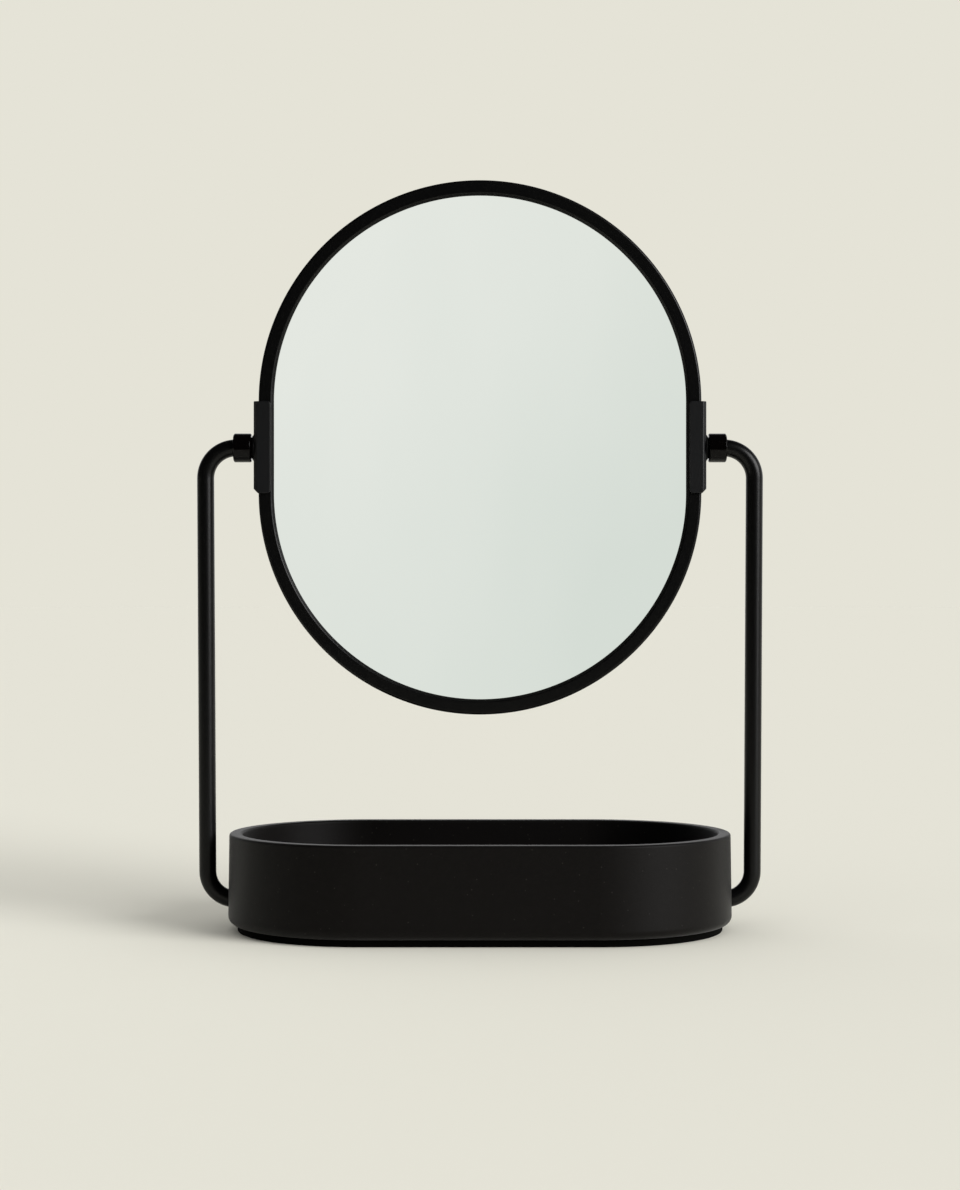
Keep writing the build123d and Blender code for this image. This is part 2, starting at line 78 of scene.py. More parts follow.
# %% [markdown]
# ## Sizes
#
# Blender works in metres and a maker in millimetres, so every size below is written in
# millimetres and passes through `mm`. Most places are read from the model: a box has a lowest and
# a highest corner, and the middle of the glass is the axis that the mirror turns on.

# %% Millimetres, and the places that the rest hangs on
def mm(size):
    """A size in millimetres, as metres."""
    return size / 1000


glass_low, glass_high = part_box("mirror_glass")
ring_low, ring_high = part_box("mirror_frame")
PIVOT_Z = (glass_low.z + glass_high.z) / 2
RING_RADIUS = ring_high.x
STRAIGHT_HALF = (ring_high.z - ring_low.z) / 2 - RING_RADIUS
print("pivot height", round(PIVOT_Z * 1000, 1), "mm")
print("straight side", round(STRAIGHT_HALF * 2000, 1), "mm")

# %% [markdown]
# ## The camera
#
# The picture was taken level, from a little above the tray. A level camera keeps upright lines
# upright, and its horizon runs through the middle of the frame. The lens follows from two
# facts: how far away it stands, and how many pixels a millimetre takes at the mirror.

# %% Put a thing in the scene
def put_in_scene(name, data):
    """A new object that carries this camera, lamp or mesh."""
    thing = bpy.data.objects.new(name, data)
    bpy.context.scene.collection.objects.link(thing)
    return thing


# %% Camera
PICTURE_HEIGHT_PX = 1190
PX_PER_MM_AT_MIRROR = 2.125
CAMERA_DISTANCE = 1125
CAMERA_HEIGHT = 157
SENSOR = 36

camera_data = bpy.data.cameras.new("camera")
camera_data.sensor_width = SENSOR
camera_data.lens = PX_PER_MM_AT_MIRROR * CAMERA_DISTANCE / PICTURE_HEIGHT_PX * SENSOR
camera = put_in_scene("camera", camera_data)
camera.location = (0, -mm(CAMERA_DISTANCE), mm(CAMERA_HEIGHT))
camera.rotation_euler = (radians(90), 0, 0)
bpy.context.scene.camera = camera
print("lens", round(camera_data.lens, 1), "mm")

# %% [markdown]
# ## Colour and nodes
#
# Screens store colours on a curve, and light adds up on a straight line, so a hex colour is
# turned to linear values once, here. `per` turns a real size into the scale that a texture wants.
# `add` is the one helper that every node tree below uses: it makes a node, sets its options and
# sockets, and links what feeds it. A Mix node keeps sockets of the same name for numbers and for
# colours, so those are picked by their place.

# %% Colour and node helpers
NUMBER_A, NUMBER_B, NUMBER_OUT = 2, 3, 0
COLOUR_A, COLOUR_B, COLOUR_OUT = 6, 7, 2


def linear(hex_colour):
    """A hex colour such as "e5e3d7" as linear red, green, blue and alpha."""
    values = [int(hex_colour[i : i + 2], 16) / 255 for i in (0, 2, 4)]
    return tuple(v / 12.92 if v <= 0.04045 else ((v + 0.055) / 1.055) ** 2.4 for v in values) + (1,)


def per(size):
    """The texture scale at which one grain is this many millimetres across."""
    return 1 / mm(size)


def add(tree, kind, links=None, values=None, **options):
    """Adds a node. options are its settings, values its sockets, and links what feeds a socket."""
    node = tree.nodes.new(kind)
    for name, value in options.items():
        setattr(node, name, value)
    for socket, value in (values or {}).items():
        node.inputs[socket].default_value = value
    for socket, source in (links or {}).items():
        tree.links.new(source, node.inputs[socket])
    return node


# %% [markdown]
# ## The studio
#
# A pale sheet of paper lies under the mirror, and the room behind has its colour. One large lamp
# stands to the right and a little in front, so the tray's shadow falls softly to the left. A sun
# lamp with a wide disc does this evenly over the whole floor. Its energy follows from its share of
# the floor's light, and the rest comes from the room all round.

# %% Lamp
BACKDROP = "e5e3d7"
LAMP_AZIMUTH = 55
LAMP_ELEVATION = 22
LAMP_DISC = 38
LAMP_SHARE = 0.38

lamp_data = bpy.data.lights.new("window_lamp", "SUN")
lamp_data.angle = radians(LAMP_DISC)
lamp_data.energy = LAMP_SHARE * pi / sin(radians(LAMP_ELEVATION))
lamp = put_in_scene("window_lamp", lamp_data)
lamp.rotation_euler = (radians(90 - LAMP_ELEVATION), 0, radians(LAMP_AZIMUTH))
print("lamp gives", LAMP_SHARE, "of the floor's light")

# %% [markdown]
# The room gives the rest of the light. It is pale behind the mirror and overhead, and dim behind
# the camera, as in a studio with the blinds down. Black paint shows a room like a dull mirror, so
# what keeps it black is that the ceiling and the dim side hold nothing bright. Shiny rays therefore
# get their own view of the room, pale only low down behind and on the right. Light Path also
# picks out the rays that look straight at the room, through glass or by way of a mirror, whose ray
# is called singular. Those see the backdrop, as the camera does.

# %% Room
ROOM_DIM = 0.05
ROOM_PALE = 0.66
LIGHT_SIDE = (0.2, 0.6, 1)
LIGHT_RAMP = (-0.6, 0.4)
SHINE_DIM = 0.02
SHINE_PALE = 1.0
SHINE_SIDE = (0.25, 1, -0.7)
SHINE_RAMP = (-0.1, 0.8)

world = bpy.data.worlds.new("studio_room")
world.use_nodes = True
bpy.context.scene.world = world
tree = world.node_tree
tree.nodes.clear()
direction = add(tree, "ShaderNodeTexCoord").outputs["Generated"]
path = add(tree, "ShaderNodeLightPath").outputs


def room_level(side, ramp, dim, pale):
    """How bright the room is in each direction: dim away from side, pale towards it."""
    along = add(tree, "ShaderNodeVectorMath", {0: direction}, {1: side}, operation="DOT_PRODUCT")
    return add(
        tree,
        "ShaderNodeMapRange",
        {"Value": along.outputs["Value"]},
        {"From Min": ramp[0], "From Max": ramp[1], "To Min": dim, "To Max": pale},
        interpolation_type="SMOOTHSTEP",
    ).outputs["Result"]


light = room_level(LIGHT_SIDE, LIGHT_RAMP, ROOM_DIM, ROOM_PALE)
shine = room_level(SHINE_SIDE, SHINE_RAMP, SHINE_DIM, SHINE_PALE)
level = add(
    tree,
    "ShaderNodeMix",
    {"Factor": path["Is Glossy Ray"], NUMBER_A: light, NUMBER_B: shine},
)
through = add(
    tree,
    "ShaderNodeMath",
    {0: path["Is Camera Ray"], 1: path["Is Transmission Ray"]},
    operation="MAXIMUM",
)
looking = add(
    tree,
    "ShaderNodeMath",
    {0: through.outputs["Value"], 1: path["Is Singular Ray"]},
    operation="MAXIMUM",
)
seen = add(
    tree,
    "ShaderNodeMix",
    {"Factor": looking.outputs["Value"], COLOUR_A: level.outputs[NUMBER_OUT]},
    {COLOUR_B: linear(BACKDROP)},
    data_type="RGBA",
)
background = add(tree, "ShaderNodeBackground", {"Color": seen.outputs[COLOUR_OUT]})
add(tree, "ShaderNodeOutputWorld", {"Surface": background.outputs["Background"]})

# %% [markdown]
# The glass faces the camera, so what it shows is the board that stands behind the camera. The board
# is painted light: it glows instead of being lit, in a slightly cool white, with painted shade
# towards the right and the bottom and soft slanting clouds of painted light and shade. Only the
# mirror sees it: for every other ray the board is clear, so it takes no light from the room and
# puts no shine on the black paint. Towards its edge it fades into the backdrop, so that the mirror
# shows no hard edge from the side.

# %% Helpers for flat sheets
def stage_sheet(name, corners, material_name):
    """A flat sheet of the stage from four corners in metres. Gives its new material's tree."""
    mesh = bpy.data.meshes.new(name)
    mesh.from_pydata(corners, [], [(0, 1, 2, 3)])
    put_in_scene(name, mesh)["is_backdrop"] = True
    material = bpy.data.materials.new(material_name)
    material.use_nodes = True
    mesh.materials.append(material)
    return material.node_tree


def glow_in_mirror(tree, glow, visible):
    """Ends a tree with this share of a glow, and clear for the rest."""
    clear = add(tree, "ShaderNodeBsdfTransparent")
    shown = add(
        tree,
        "ShaderNodeMixShader",
        {0: visible, 1: clear.outputs["BSDF"], 2: glow.outputs["Emission"]},
    )
    add(tree, "ShaderNodeOutputMaterial", {"Surface": shown.outputs["Shader"]})


# %% Board behind the camera
BOARD_Y = -1250
BOARD_HALF_WIDTH = 1200
BOARD_HEIGHT = 1600
BOARD_LIGHT = "eeefeb"
BOARD_SHADE = "dfe4df"
BOARD_FADE = (-1.3, 0, 1.3)
BOARD_MIDDLE = (0, 0, mm(290))
BOARD_EDGE = (0.42, 1)
CLOUD_SIZE = 190
CLOUD_TILT = 0.6
CLOUD_STRETCH = (1, 1, 0.4)

board_corners = [
    (mm(x * BOARD_HALF_WIDTH), mm(BOARD_Y), mm(z * BOARD_HEIGHT))
    for x, z in ((-1, 0), (-1, 1), (1, 1), (1, 0))
]
# Painted light: the board glows, and its fade and clouds are painted shade and light.
tree = stage_sheet("board_behind_camera", board_corners, "white_board_paint")
tree.nodes.clear()
place = add(tree, "ShaderNodeTexCoord").outputs["Object"]
from_middle = add(
    tree, "ShaderNodeVectorMath", {0: place}, {1: BOARD_MIDDLE}, operation="SUBTRACT"
)
fade = add(
    tree,
    "ShaderNodeVectorMath",
    {0: from_middle.outputs["Vector"]},
    {1: BOARD_FADE},
    operation="DOT_PRODUCT",
)
slanted = add(
    tree,
    "ShaderNodeMapping",
    {"Vector": place},
    {"Rotation": (0, CLOUD_TILT, 0), "Scale": CLOUD_STRETCH},
)
clouds = add(
    tree,
    "ShaderNodeTexNoise",
    {"Vector": slanted.outputs["Vector"]},
    {"Scale": per(CLOUD_SIZE), "Detail": 3, "Roughness": 0.45},
)
paleness = add(
    tree,
    "ShaderNodeMath",
    {0: clouds.outputs["Fac"], 1: fade.outputs["Value"]},
    operation="ADD",
)
colour = add(
    tree,
    "ShaderNodeMix",
    {"Factor": paleness.outputs["Value"]},
    {COLOUR_A: linear(BOARD_SHADE), COLOUR_B: linear(BOARD_LIGHT)},
    data_type="RGBA",
)
glow = add(tree, "ShaderNodeEmission", {"Color": colour.outputs[COLOUR_OUT]})
singular = add(tree, "ShaderNodeLightPath").outputs["Is Singular Ray"]
share_of_board = (per(BOARD_HALF_WIDTH), 0, per(BOARD_HEIGHT))
outwards = add(
    tree, "ShaderNodeVectorMath", {0: place}, {1: share_of_board}, operation="MULTIPLY"
)
how_far = add(tree, "ShaderNodeVectorMath", {0: outwards.outputs["Vector"]}, operation="LENGTH")
visible = add(
    tree,
    "ShaderNodeMapRange",
    {"Value": how_far.outputs["Value"], "To Min": singular},
    {"From Min": BOARD_EDGE[0], "From Max": BOARD_EDGE[1], "To Max": 0},
    interpolation_type="SMOOTHSTEP",
)
glow_in_mirror(tree, glow, visible.outputs["Result"])

# %% [markdown]
# A second sheet of the same kind hangs before the lamp, in the backdrop's colour. Without it, the
# mirror shows the lamp's disc burnt out when it is seen from the side.

# %% Sheet before the lamp
SHEET_DISTANCE = 3000
SHEET_HALF = 1500

towards_lamp = lamp.rotation_euler.to_matrix()
sheet_corners = [
    towards_lamp @ Vector((mm(x * SHEET_HALF), mm(y * SHEET_HALF), mm(SHEET_DISTANCE)))
    for x, y in ((-1, -1), (1, -1), (1, 1), (-1, 1))
]
tree = stage_sheet("sheet_before_lamp", sheet_corners, "pale_sheet_cloth")
tree.nodes.clear()
glow = add(tree, "ShaderNodeEmission", values={"Color": linear(BACKDROP)})
singular = add(tree, "ShaderNodeLightPath").outputs["Is Singular Ray"]
glow_in_mirror(tree, glow, singular)

# %% [markdown]
# The paper floor is wide enough that its far edge lies close to the horizon, where it meets a room
# of its own colour and can't be told apart. Towards the camera the floor carries painted shade:
# there it is dark for dull shiny rays only, while the camera, the light and the mirror find the
# paper's colour. The camera never looks there, but black paint shows it as a dark reflection.

# %% Paper floor
FLOOR_HALF = 30000
# Painted shade: towards the camera the floor is dark for dull shiny rays only.
PAINTED_SHADE_RAMP = (-500, -900)
PAINTED_SHADE_IN_SHINE = "1a1a1a"

floor_corners = [
    (mm(x * FLOOR_HALF), mm(y * FLOOR_HALF), 0) for x, y in ((-1, -1), (1, -1), (1, 1), (-1, 1))
]
tree = stage_sheet("paper_floor", floor_corners, "background_paper")
shader = tree.nodes["Principled BSDF"]
shader.inputs["Roughness"].default_value = 1
shader.inputs["Specular IOR Level"].default_value = 0
place = add(tree, "ShaderNodeTexCoord").outputs["Object"]
ahead = add(tree, "ShaderNodeSeparateXYZ", {"Vector": place}).outputs["Y"]
into_painted_shade = add(
    tree,
    "ShaderNodeMapRange",
    {"Value": ahead},
    {"From Min": mm(PAINTED_SHADE_RAMP[0]), "From Max": mm(PAINTED_SHADE_RAMP[1])},
)
path = add(tree, "ShaderNodeLightPath").outputs
dull_shine = add(
    tree,
    "ShaderNodeMath",
    {0: path["Is Glossy Ray"], 1: path["Is Singular Ray"]},
    operation="SUBTRACT",
)
dark = add(
    tree,
    "ShaderNodeMath",
    {0: dull_shine.outputs["Value"], 1: into_painted_shade.outputs["Result"]},
    operation="MULTIPLY",
    use_clamp=True,
)
colour = add(
    tree,
    "ShaderNodeMix",
    {"Factor": dark.outputs["Value"]},
    {COLOUR_A: linear(BACKDROP), COLOUR_B: linear(PAINTED_SHADE_IN_SHINE)},
    data_type="RGBA",
)
tree.links.new(colour.outputs[COLOUR_OUT], shader.inputs["Base Color"])

bpy.context.scene.view_settings.view_transform = "Standard"

# %% [markdown]
# ## Finishes
#
# Almost everything here is black, and what tells the blacks apart is how they are made: a
# moulded tray with a dry, speckled skin, rods with a baked powder coat, turned sleeves in gloss
# enamel. Each finish starts from a principled shader. Patterns use Object coordinates, so they
# stay put on the piece, and their scale comes from a real size. A grain of a tenth of a millimetre
# wouldn't show in the picture, so the fine ones are drawn half a millimetre to a millimetre across.

# %% Finish helpers
finishes = {}


def new_finish(name, colour, **settings):
    """A material with a principled shader. Gives its tree, Object coordinates and shader."""
    material = bpy.data.materials.new(name)
    material.use_nodes = True
    tree = material.node_tree
    shader = tree.nodes["Principled BSDF"]
    shader.inputs["Base Color"].default_value = linear(colour)
    for socket, value in settings.items():
        shader.inputs[socket.replace("_", " ")].default_value = value
    finishes[name] = material
    return tree, add(tree, "ShaderNodeTexCoord").outputs["Object"], shader


def raise_grain(tree, shader, heights, depth):
    """Feeds the shader's normal from a height pattern, with bumps of this depth in millimetres."""
    bump = add(tree, "ShaderNodeBump", {"Height": heights}, {"Distance": mm(depth)})
    tree.links.new(bump.outputs["Normal"], shader.inputs["Normal"])


def vary(tree, shader, socket, pattern, low, high):
    """Lets a pattern from 0 to 1 move a number socket between two values."""
    span = add(tree, "ShaderNodeMapRange", {"Value": pattern}, {"To Min": low, "To Max": high})
    tree.links.new(span.outputs["Result"], shader.inputs[socket])


def tint(tree, shader, pattern, low, high):
    """Lets a pattern from 0 to 1 move the base colour between two hex colours."""
    mix = add(
        tree,
        "ShaderNodeMix",
        {"Factor": pattern},
        {COLOUR_A: linear(low), COLOUR_B: linear(high)},
        data_type="RGBA",
    )
    tree.links.new(mix.outputs[COLOUR_OUT], shader.inputs["Base Color"])


# %% [markdown]
# **The tray** is moulded from charcoal ABS in a spark-eroded mould, which leaves a dry, even
# grain. It scatters light, so the tray stays dark in front and greys only where it turns away: a
# little sheen stands for what the tops of the grains catch there. Pale specks of filler show
# through here and there.

# %% Tray finish
TRAY_GRAIN = 0.7
TRAY_SPECK_SPACING = 4
TRAY_SPECK_EDGE = (0.09, 0.05)
CHARCOAL = "060403"

tree, place, shader = new_finish(
    "spark_textured_charcoal_abs",
    CHARCOAL,
    Specular_IOR_Level=0.12,
    Sheen_Weight=0.1,
    Sheen_Roughness=0.4,
)
grain = add(tree, "ShaderNodeTexNoise", {"Vector": place}, {"Scale": per(TRAY_GRAIN), "Detail": 3})
raise_grain(tree, shader, grain.outputs["Fac"], depth=0.05)
vary(tree, shader, "Roughness", grain.outputs["Fac"], low=0.46, high=0.58)
speck_cells = add(
    tree, "ShaderNodeTexVoronoi", {"Vector": place}, {"Scale": per(TRAY_SPECK_SPACING)}
)
specks = add(
    tree,
    "ShaderNodeMapRange",
    {"Value": speck_cells.outputs["Distance"]},
    {"From Min": TRAY_SPECK_EDGE[0], "From Max": TRAY_SPECK_EDGE[1]},
)
tint(tree, shader, specks.outputs["Result"], low=CHARCOAL, high="24231f")

# %% [markdown]
# **The covers** behind the mirror and under the tray are plain black ABS with a shallower grain.

# %% Cover finish
COVER_GRAIN = 0.9

tree, place, shader = new_finish("fine_textured_black_abs", "100f0f", Specular_IOR_Level=0.2)
grain = add(tree, "ShaderNodeTexNoise", {"Vector": place}, {"Scale": per(COVER_GRAIN), "Detail": 4})
raise_grain(tree, shader, grain.outputs["Fac"], depth=0.03)
vary(tree, shader, "Roughness", grain.outputs["Fac"], low=0.5, high=0.62)

# %% [markdown]
# **The foot** is a die-cut pad of foam rubber, one of the blackest things here, with hardly any
# shine.

# %% Foot finish
RUBBER_PORE = 0.5

tree, place, shader = new_finish(
    "die_cut_foam_rubber", "040403", Roughness=0.9, Specular_IOR_Level=0.04
)
pores = add(tree, "ShaderNodeTexVoronoi", {"Vector": place}, {"Scale": per(RUBBER_PORE)})
raise_grain(tree, shader, pores.outputs["Distance"], depth=0.06)

# %% [markdown]
# **Rods and mirror frame** are steel with a black epoxy powder coat, baked until it flows. It
# keeps a faint orange peel, waves about a millimetre and a half long, which breaks up a highlight
# without hiding it. The waves are drawn a little longer than life, so that they show.

# %% Powder coat
ORANGE_PEEL = 2

tree, place, shader = new_finish("black_epoxy_powder_coat", "040404", Specular_IOR_Level=0.22)
peel = add(tree, "ShaderNodeTexNoise", {"Vector": place}, {"Scale": per(ORANGE_PEEL), "Detail": 1})
raise_grain(tree, shader, peel.outputs["Fac"], depth=0.02)
vary(tree, shader, "Roughness", peel.outputs["Fac"], low=0.3, high=0.36)

# %% [markdown]
# **The clips** have the same coat with more matting agent, which makes it a shade greyer and
# bluer.

# %% Clip finish
CLIP_GRAIN = 0.8

tree, place, shader = new_finish("matt_graphite_powder_coat", "090a0c", Specular_IOR_Level=0.35)
grain = add(tree, "ShaderNodeTexNoise", {"Vector": place}, {"Scale": per(CLIP_GRAIN), "Detail": 2})
raise_grain(tree, shader, grain.outputs["Fac"], depth=0.02)
vary(tree, shader, "Roughness", grain.outputs["Fac"], low=0.38, high=0.46)

# %% [markdown]
# **The sleeves** are turned steel in gloss black enamel, the one truly shiny black. Fine rings
# from the lathe run round them, about the X axis, and show in the gloss as faint lines. A lathe
# leaves a ring every tenth of a millimetre or so, and here they are drawn over a millimetre apart,
# so that they show. The wave texture runs through 20 radians per unit, and a ring is a full turn.

# %% Sleeve finish
LATHE_RING = 1.1844
WAVE_RADIANS = 20

tree, place, shader = new_finish(
    "gloss_black_enamel_on_turned_steel", "030202", Roughness=0.12, Specular_IOR_Level=0.14
)
rings = add(
    tree,
    "ShaderNodeTexWave",
    {"Vector": place},
    {"Scale": 2 * pi / WAVE_RADIANS * per(LATHE_RING), "Distortion": 0.2},
    bands_direction="X",
)
raise_grain(tree, shader, rings.outputs["Fac"], depth=0.002)

# %% [markdown]
# **The cone washers** are moulded black nylon, softly shiny. **The steel screws and washers**
# inside are zinc plated, a pale metal with a cool cast, and **the screws on the head** are black
# oxide, steel turned dark in a hot bath and wiped with oil.

# %% Nylon, zinc and black oxide
MOULD_RIPPLE = 0.8
ZINC_SPANGLE = 1.2
OXIDE_PATCH = 0.9

tree, place, shader = new_finish("moulded_black_nylon", "070707", Specular_IOR_Level=0.3)
ripple = add(tree, "ShaderNodeTexNoise", {"Vector": place}, {"Scale": per(MOULD_RIPPLE)})
vary(tree, shader, "Roughness", ripple.outputs["Fac"], low=0.36, high=0.5)

tree, place, shader = new_finish("bright_zinc_plated_steel", "b9bec4", Metallic=1)
spangle = add(tree, "ShaderNodeTexVoronoi", {"Vector": place}, {"Scale": per(ZINC_SPANGLE)})
vary(tree, shader, "Roughness", spangle.outputs["Distance"], low=0.22, high=0.38)

tree, place, shader = new_finish("black_oxide_steel", "26262a", Metallic=1)
patch = add(tree, "ShaderNodeTexNoise", {"Vector": place}, {"Scale": per(OXIDE_PATCH), "Detail": 3})
vary(tree, shader, "Roughness", patch.outputs["Fac"], low=0.3, high=0.46)

# %% [markdown]
# **The foam** behind the glass is closed-cell polyethylene. It is seen only with the cover off.

# %% Foam
FOAM_CELL = 1.0

tree, place, shader = new_finish("closed_cell_polyethylene_foam", "3a3a3a", Roughness=0.95)
cells = add(tree, "ShaderNodeTexVoronoi", {"Vector": place}, {"Scale": per(FOAM_CELL)})
raise_grain(tree, shader, cells.outputs["Distance"], depth=0.2)

# %% [markdown]
# **The glass** is float glass, silvered on its back. It is polished on both sides, so it has no
# roughness at all, and the light passes through the glass twice, which gives it a faint green
# cast. Float glass is not perfectly flat: slow waves, tens of millimetres long and thinner than a
# hair, bend the reflection a little.

# %% Silvered glass
FLOAT_WAVE = 60

tree, place, shader = new_finish("silvered_float_glass", "f4f7f4", Metallic=1, Roughness=0)
waves = add(tree, "ShaderNodeTexNoise", {"Vector": place}, {"Scale": per(FLOAT_WAVE), "Detail": 0})
raise_grain(tree, shader, waves.outputs["Fac"], depth=0.02)

# %% [markdown]
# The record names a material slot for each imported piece, and each slot has one of the finishes
# above.

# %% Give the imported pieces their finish
FINISH_OF_SLOT = {
    "tray_moulding": "spark_textured_charcoal_abs",
    "black_moulding": "fine_textured_black_abs",
    "foot_rubber": "die_cut_foam_rubber",
    "black_coated_steel": "black_epoxy_powder_coat",
    "gloss_black_steel": "gloss_black_enamel_on_turned_steel",
    "clip_coating": "matt_graphite_powder_coat",
    "washer_nylon": "moulded_black_nylon",
    "silvered_glass": "silvered_float_glass",
    "foam": "closed_cell_polyethylene_foam",
    "zinc_steel": "bright_zinc_plated_steel",
    "black_screws": "black_oxide_steel",
}
for part in frame["record"]["subparts"]:
    finish = finishes[FINISH_OF_SLOT[part["material_slot"]]]
    for material_slot in frame["nodes"][part["node"]].material_slots:
        material_slot.material = finish
print("finishes:", len(finishes))

# %% [markdown]
# ## Pieces made by rule
#
# The rods follow a path, and the frame, sleeves, washers and screws are all a section carried
# round an axis. Geometry Nodes make both kinds from a few corners and sizes. Each corner carries
# the radius that it is bent or rounded to, as an attribute of its point, so the tree needs only
# one Fillet Curve node. Softened edges matter here: on a black object they are what catches light.

# %% Helpers for Geometry Nodes
SHARP_ANGLE = 30
WELD = 0.001


def corner_line(corners, closed):
    """A line of corners (x, y, z, rounding) in millimetres, as a mesh for a tree to start from."""
    mesh = bpy.data.meshes.new("corners")
    count = len(corners)
    edges = [(i, (i + 1) % count) for i in range(count if closed else count - 1)]
    mesh.from_pydata([[mm(value) for value in corner[:3]] for corner in corners], edges, [])
    rounding = mesh.attributes.new("rounding", "FLOAT", "POINT")
    for i, corner in enumerate(corners):
        rounding.data[i].value = mm(corner[3])
    return mesh


def new_shape(name, inputs):
    """A tree that starts from a geometry. Gives the tree and the sockets of its named inputs."""
    tree = bpy.data.node_groups.new(name, "GeometryNodeTree")
    for label, kind in {"Start": "Geometry", "Finish": "Material", **inputs}.items():
        tree.interface.new_socket(label, in_out="INPUT", socket_type="NodeSocket" + kind)
    tree.interface.new_socket("Piece", in_out="OUTPUT", socket_type="NodeSocketGeometry")
    return tree, add(tree, "NodeGroupInput").outputs


def rounded_line(tree, start, steps):
    """Inside a tree: the corners as a curve, each rounded by its own radius."""
    radius = add(
        tree,
        "GeometryNodeInputNamedAttribute",
        values={"Name": "rounding"},
        data_type="FLOAT",
    )
    line = add(tree, "GeometryNodeMeshToCurve", {"Mesh": start})
    return add(
        tree,
        "GeometryNodeFilletCurve",
        {"Curve": line.outputs["Curve"], "Radius": radius.outputs["Attribute"]},
        {"Count": steps},
        mode="POLY",
    ).outputs["Curve"]


def end_shape(tree, mesh, finish):
    """Inside a tree: smooth faces, sharp edges past an angle, real meshes and the finish."""
    smooth = add(tree, "GeometryNodeSetShadeSmooth", {"Geometry": mesh})
    angle = add(tree, "GeometryNodeInputMeshEdgeAngle").outputs["Unsigned Angle"]
    is_sharp = add(
        tree, "ShaderNodeMath", {0: angle}, {1: radians(SHARP_ANGLE)}, operation="GREATER_THAN"
    )
    creased = add(
        tree,
        "GeometryNodeSetShadeSmooth",
        {"Geometry": smooth.outputs["Geometry"], "Selection": is_sharp.outputs["Value"]},
        {"Shade Smooth": False},
        domain="EDGE",
    )
    real = add(tree, "GeometryNodeRealizeInstances", {"Geometry": creased.outputs["Geometry"]})
    done = add(
        tree,
        "GeometryNodeSetMaterial",
        {"Geometry": real.outputs["Geometry"], "Material": finish},
    )
    add(tree, "NodeGroupOutput", {0: done.outputs["Geometry"]})


def make_piece(name, tree, start, finish, **inputs):
    """Runs a tree on a start mesh and keeps the result as a plain mesh. Gives the object."""
    piece = put_in_scene(name, start)
    nodes = piece.modifiers.new("shape", "NODES")
    nodes.node_group = tree
    values = {"Finish": finishes[finish], **{key.replace("_", " "): inputs[key] for key in inputs}}
    for item in tree.interface.items_tree:
        if item.name in values:
            nodes[item.identifier] = values[item.name]
    keep_result(piece)
    piece.data.materials.clear()
    piece.data.materials.append(finishes[finish])
    return piece


def keep_result(piece):
    """Turns what a piece's modifiers give into its own clean mesh, and removes them."""
    depsgraph = bpy.context.evaluated_depsgraph_get()
    made = bpy.data.meshes.new_from_object(piece.evaluated_get(depsgraph), depsgraph=depsgraph)
    piece.modifiers.clear()
    piece.data = made
    made.name = piece.name
    shape = bmesh.new()
    shape.from_mesh(made)
    bmesh.ops.remove_doubles(shape, verts=shape.verts, dist=mm(WELD))
    loose = [edge for edge in shape.edges if not edge.link_faces]
    bmesh.ops.delete(shape, geom=loose, context="EDGES")
    bmesh.ops.recalc_face_normals(shape, faces=shape.faces)
    for face in shape.faces:
        face.material_index = 0
    shape.to_mesh(made)
    shape.free()


def combine(piece, others, operation):
    """Joins other solids to a piece with UNION, or cuts them out with DIFFERENCE."""
    for other in others:
        boolean = piece.modifiers.new(other.name, "BOOLEAN")
        boolean.operation = operation
        boolean.solver = "EXACT"
        boolean.object = other
    keep_result(piece)
    for other in others:
        bpy.data.objects.remove(other)


def settle(piece, body, slot_name, *nodes):
    """Says which body carries the piece and the nodes it stands for. slot_name, its slot in the
    record, is not used.
    """
    flat = piece.modifiers.new("flat faces stay flat", "WEIGHTED_NORMAL")
    flat.keep_sharp = True
    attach(piece, body)
    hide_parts(*nodes)
    print(piece.name, "has", len(piece.data.polygons), "faces")


# %% [markdown]
# ### The rods
#
# Each arm is one 8 mm rod, bent twice over a round former. A maker draws it as straight runs that
# meet at corners and gives each corner its bend, and the tree does the same: Mesh to Curve, Fillet
# Curve, then Curve to Mesh with a circle. A blind hole in each end takes its screw, so a cylinder
# is placed on each end of the curve, along the curve's own direction, and cut away.

# %% Bent rod tree
BEND_STEPS = 20
ROD_FACETS = 56
DRILL_FACETS = 40

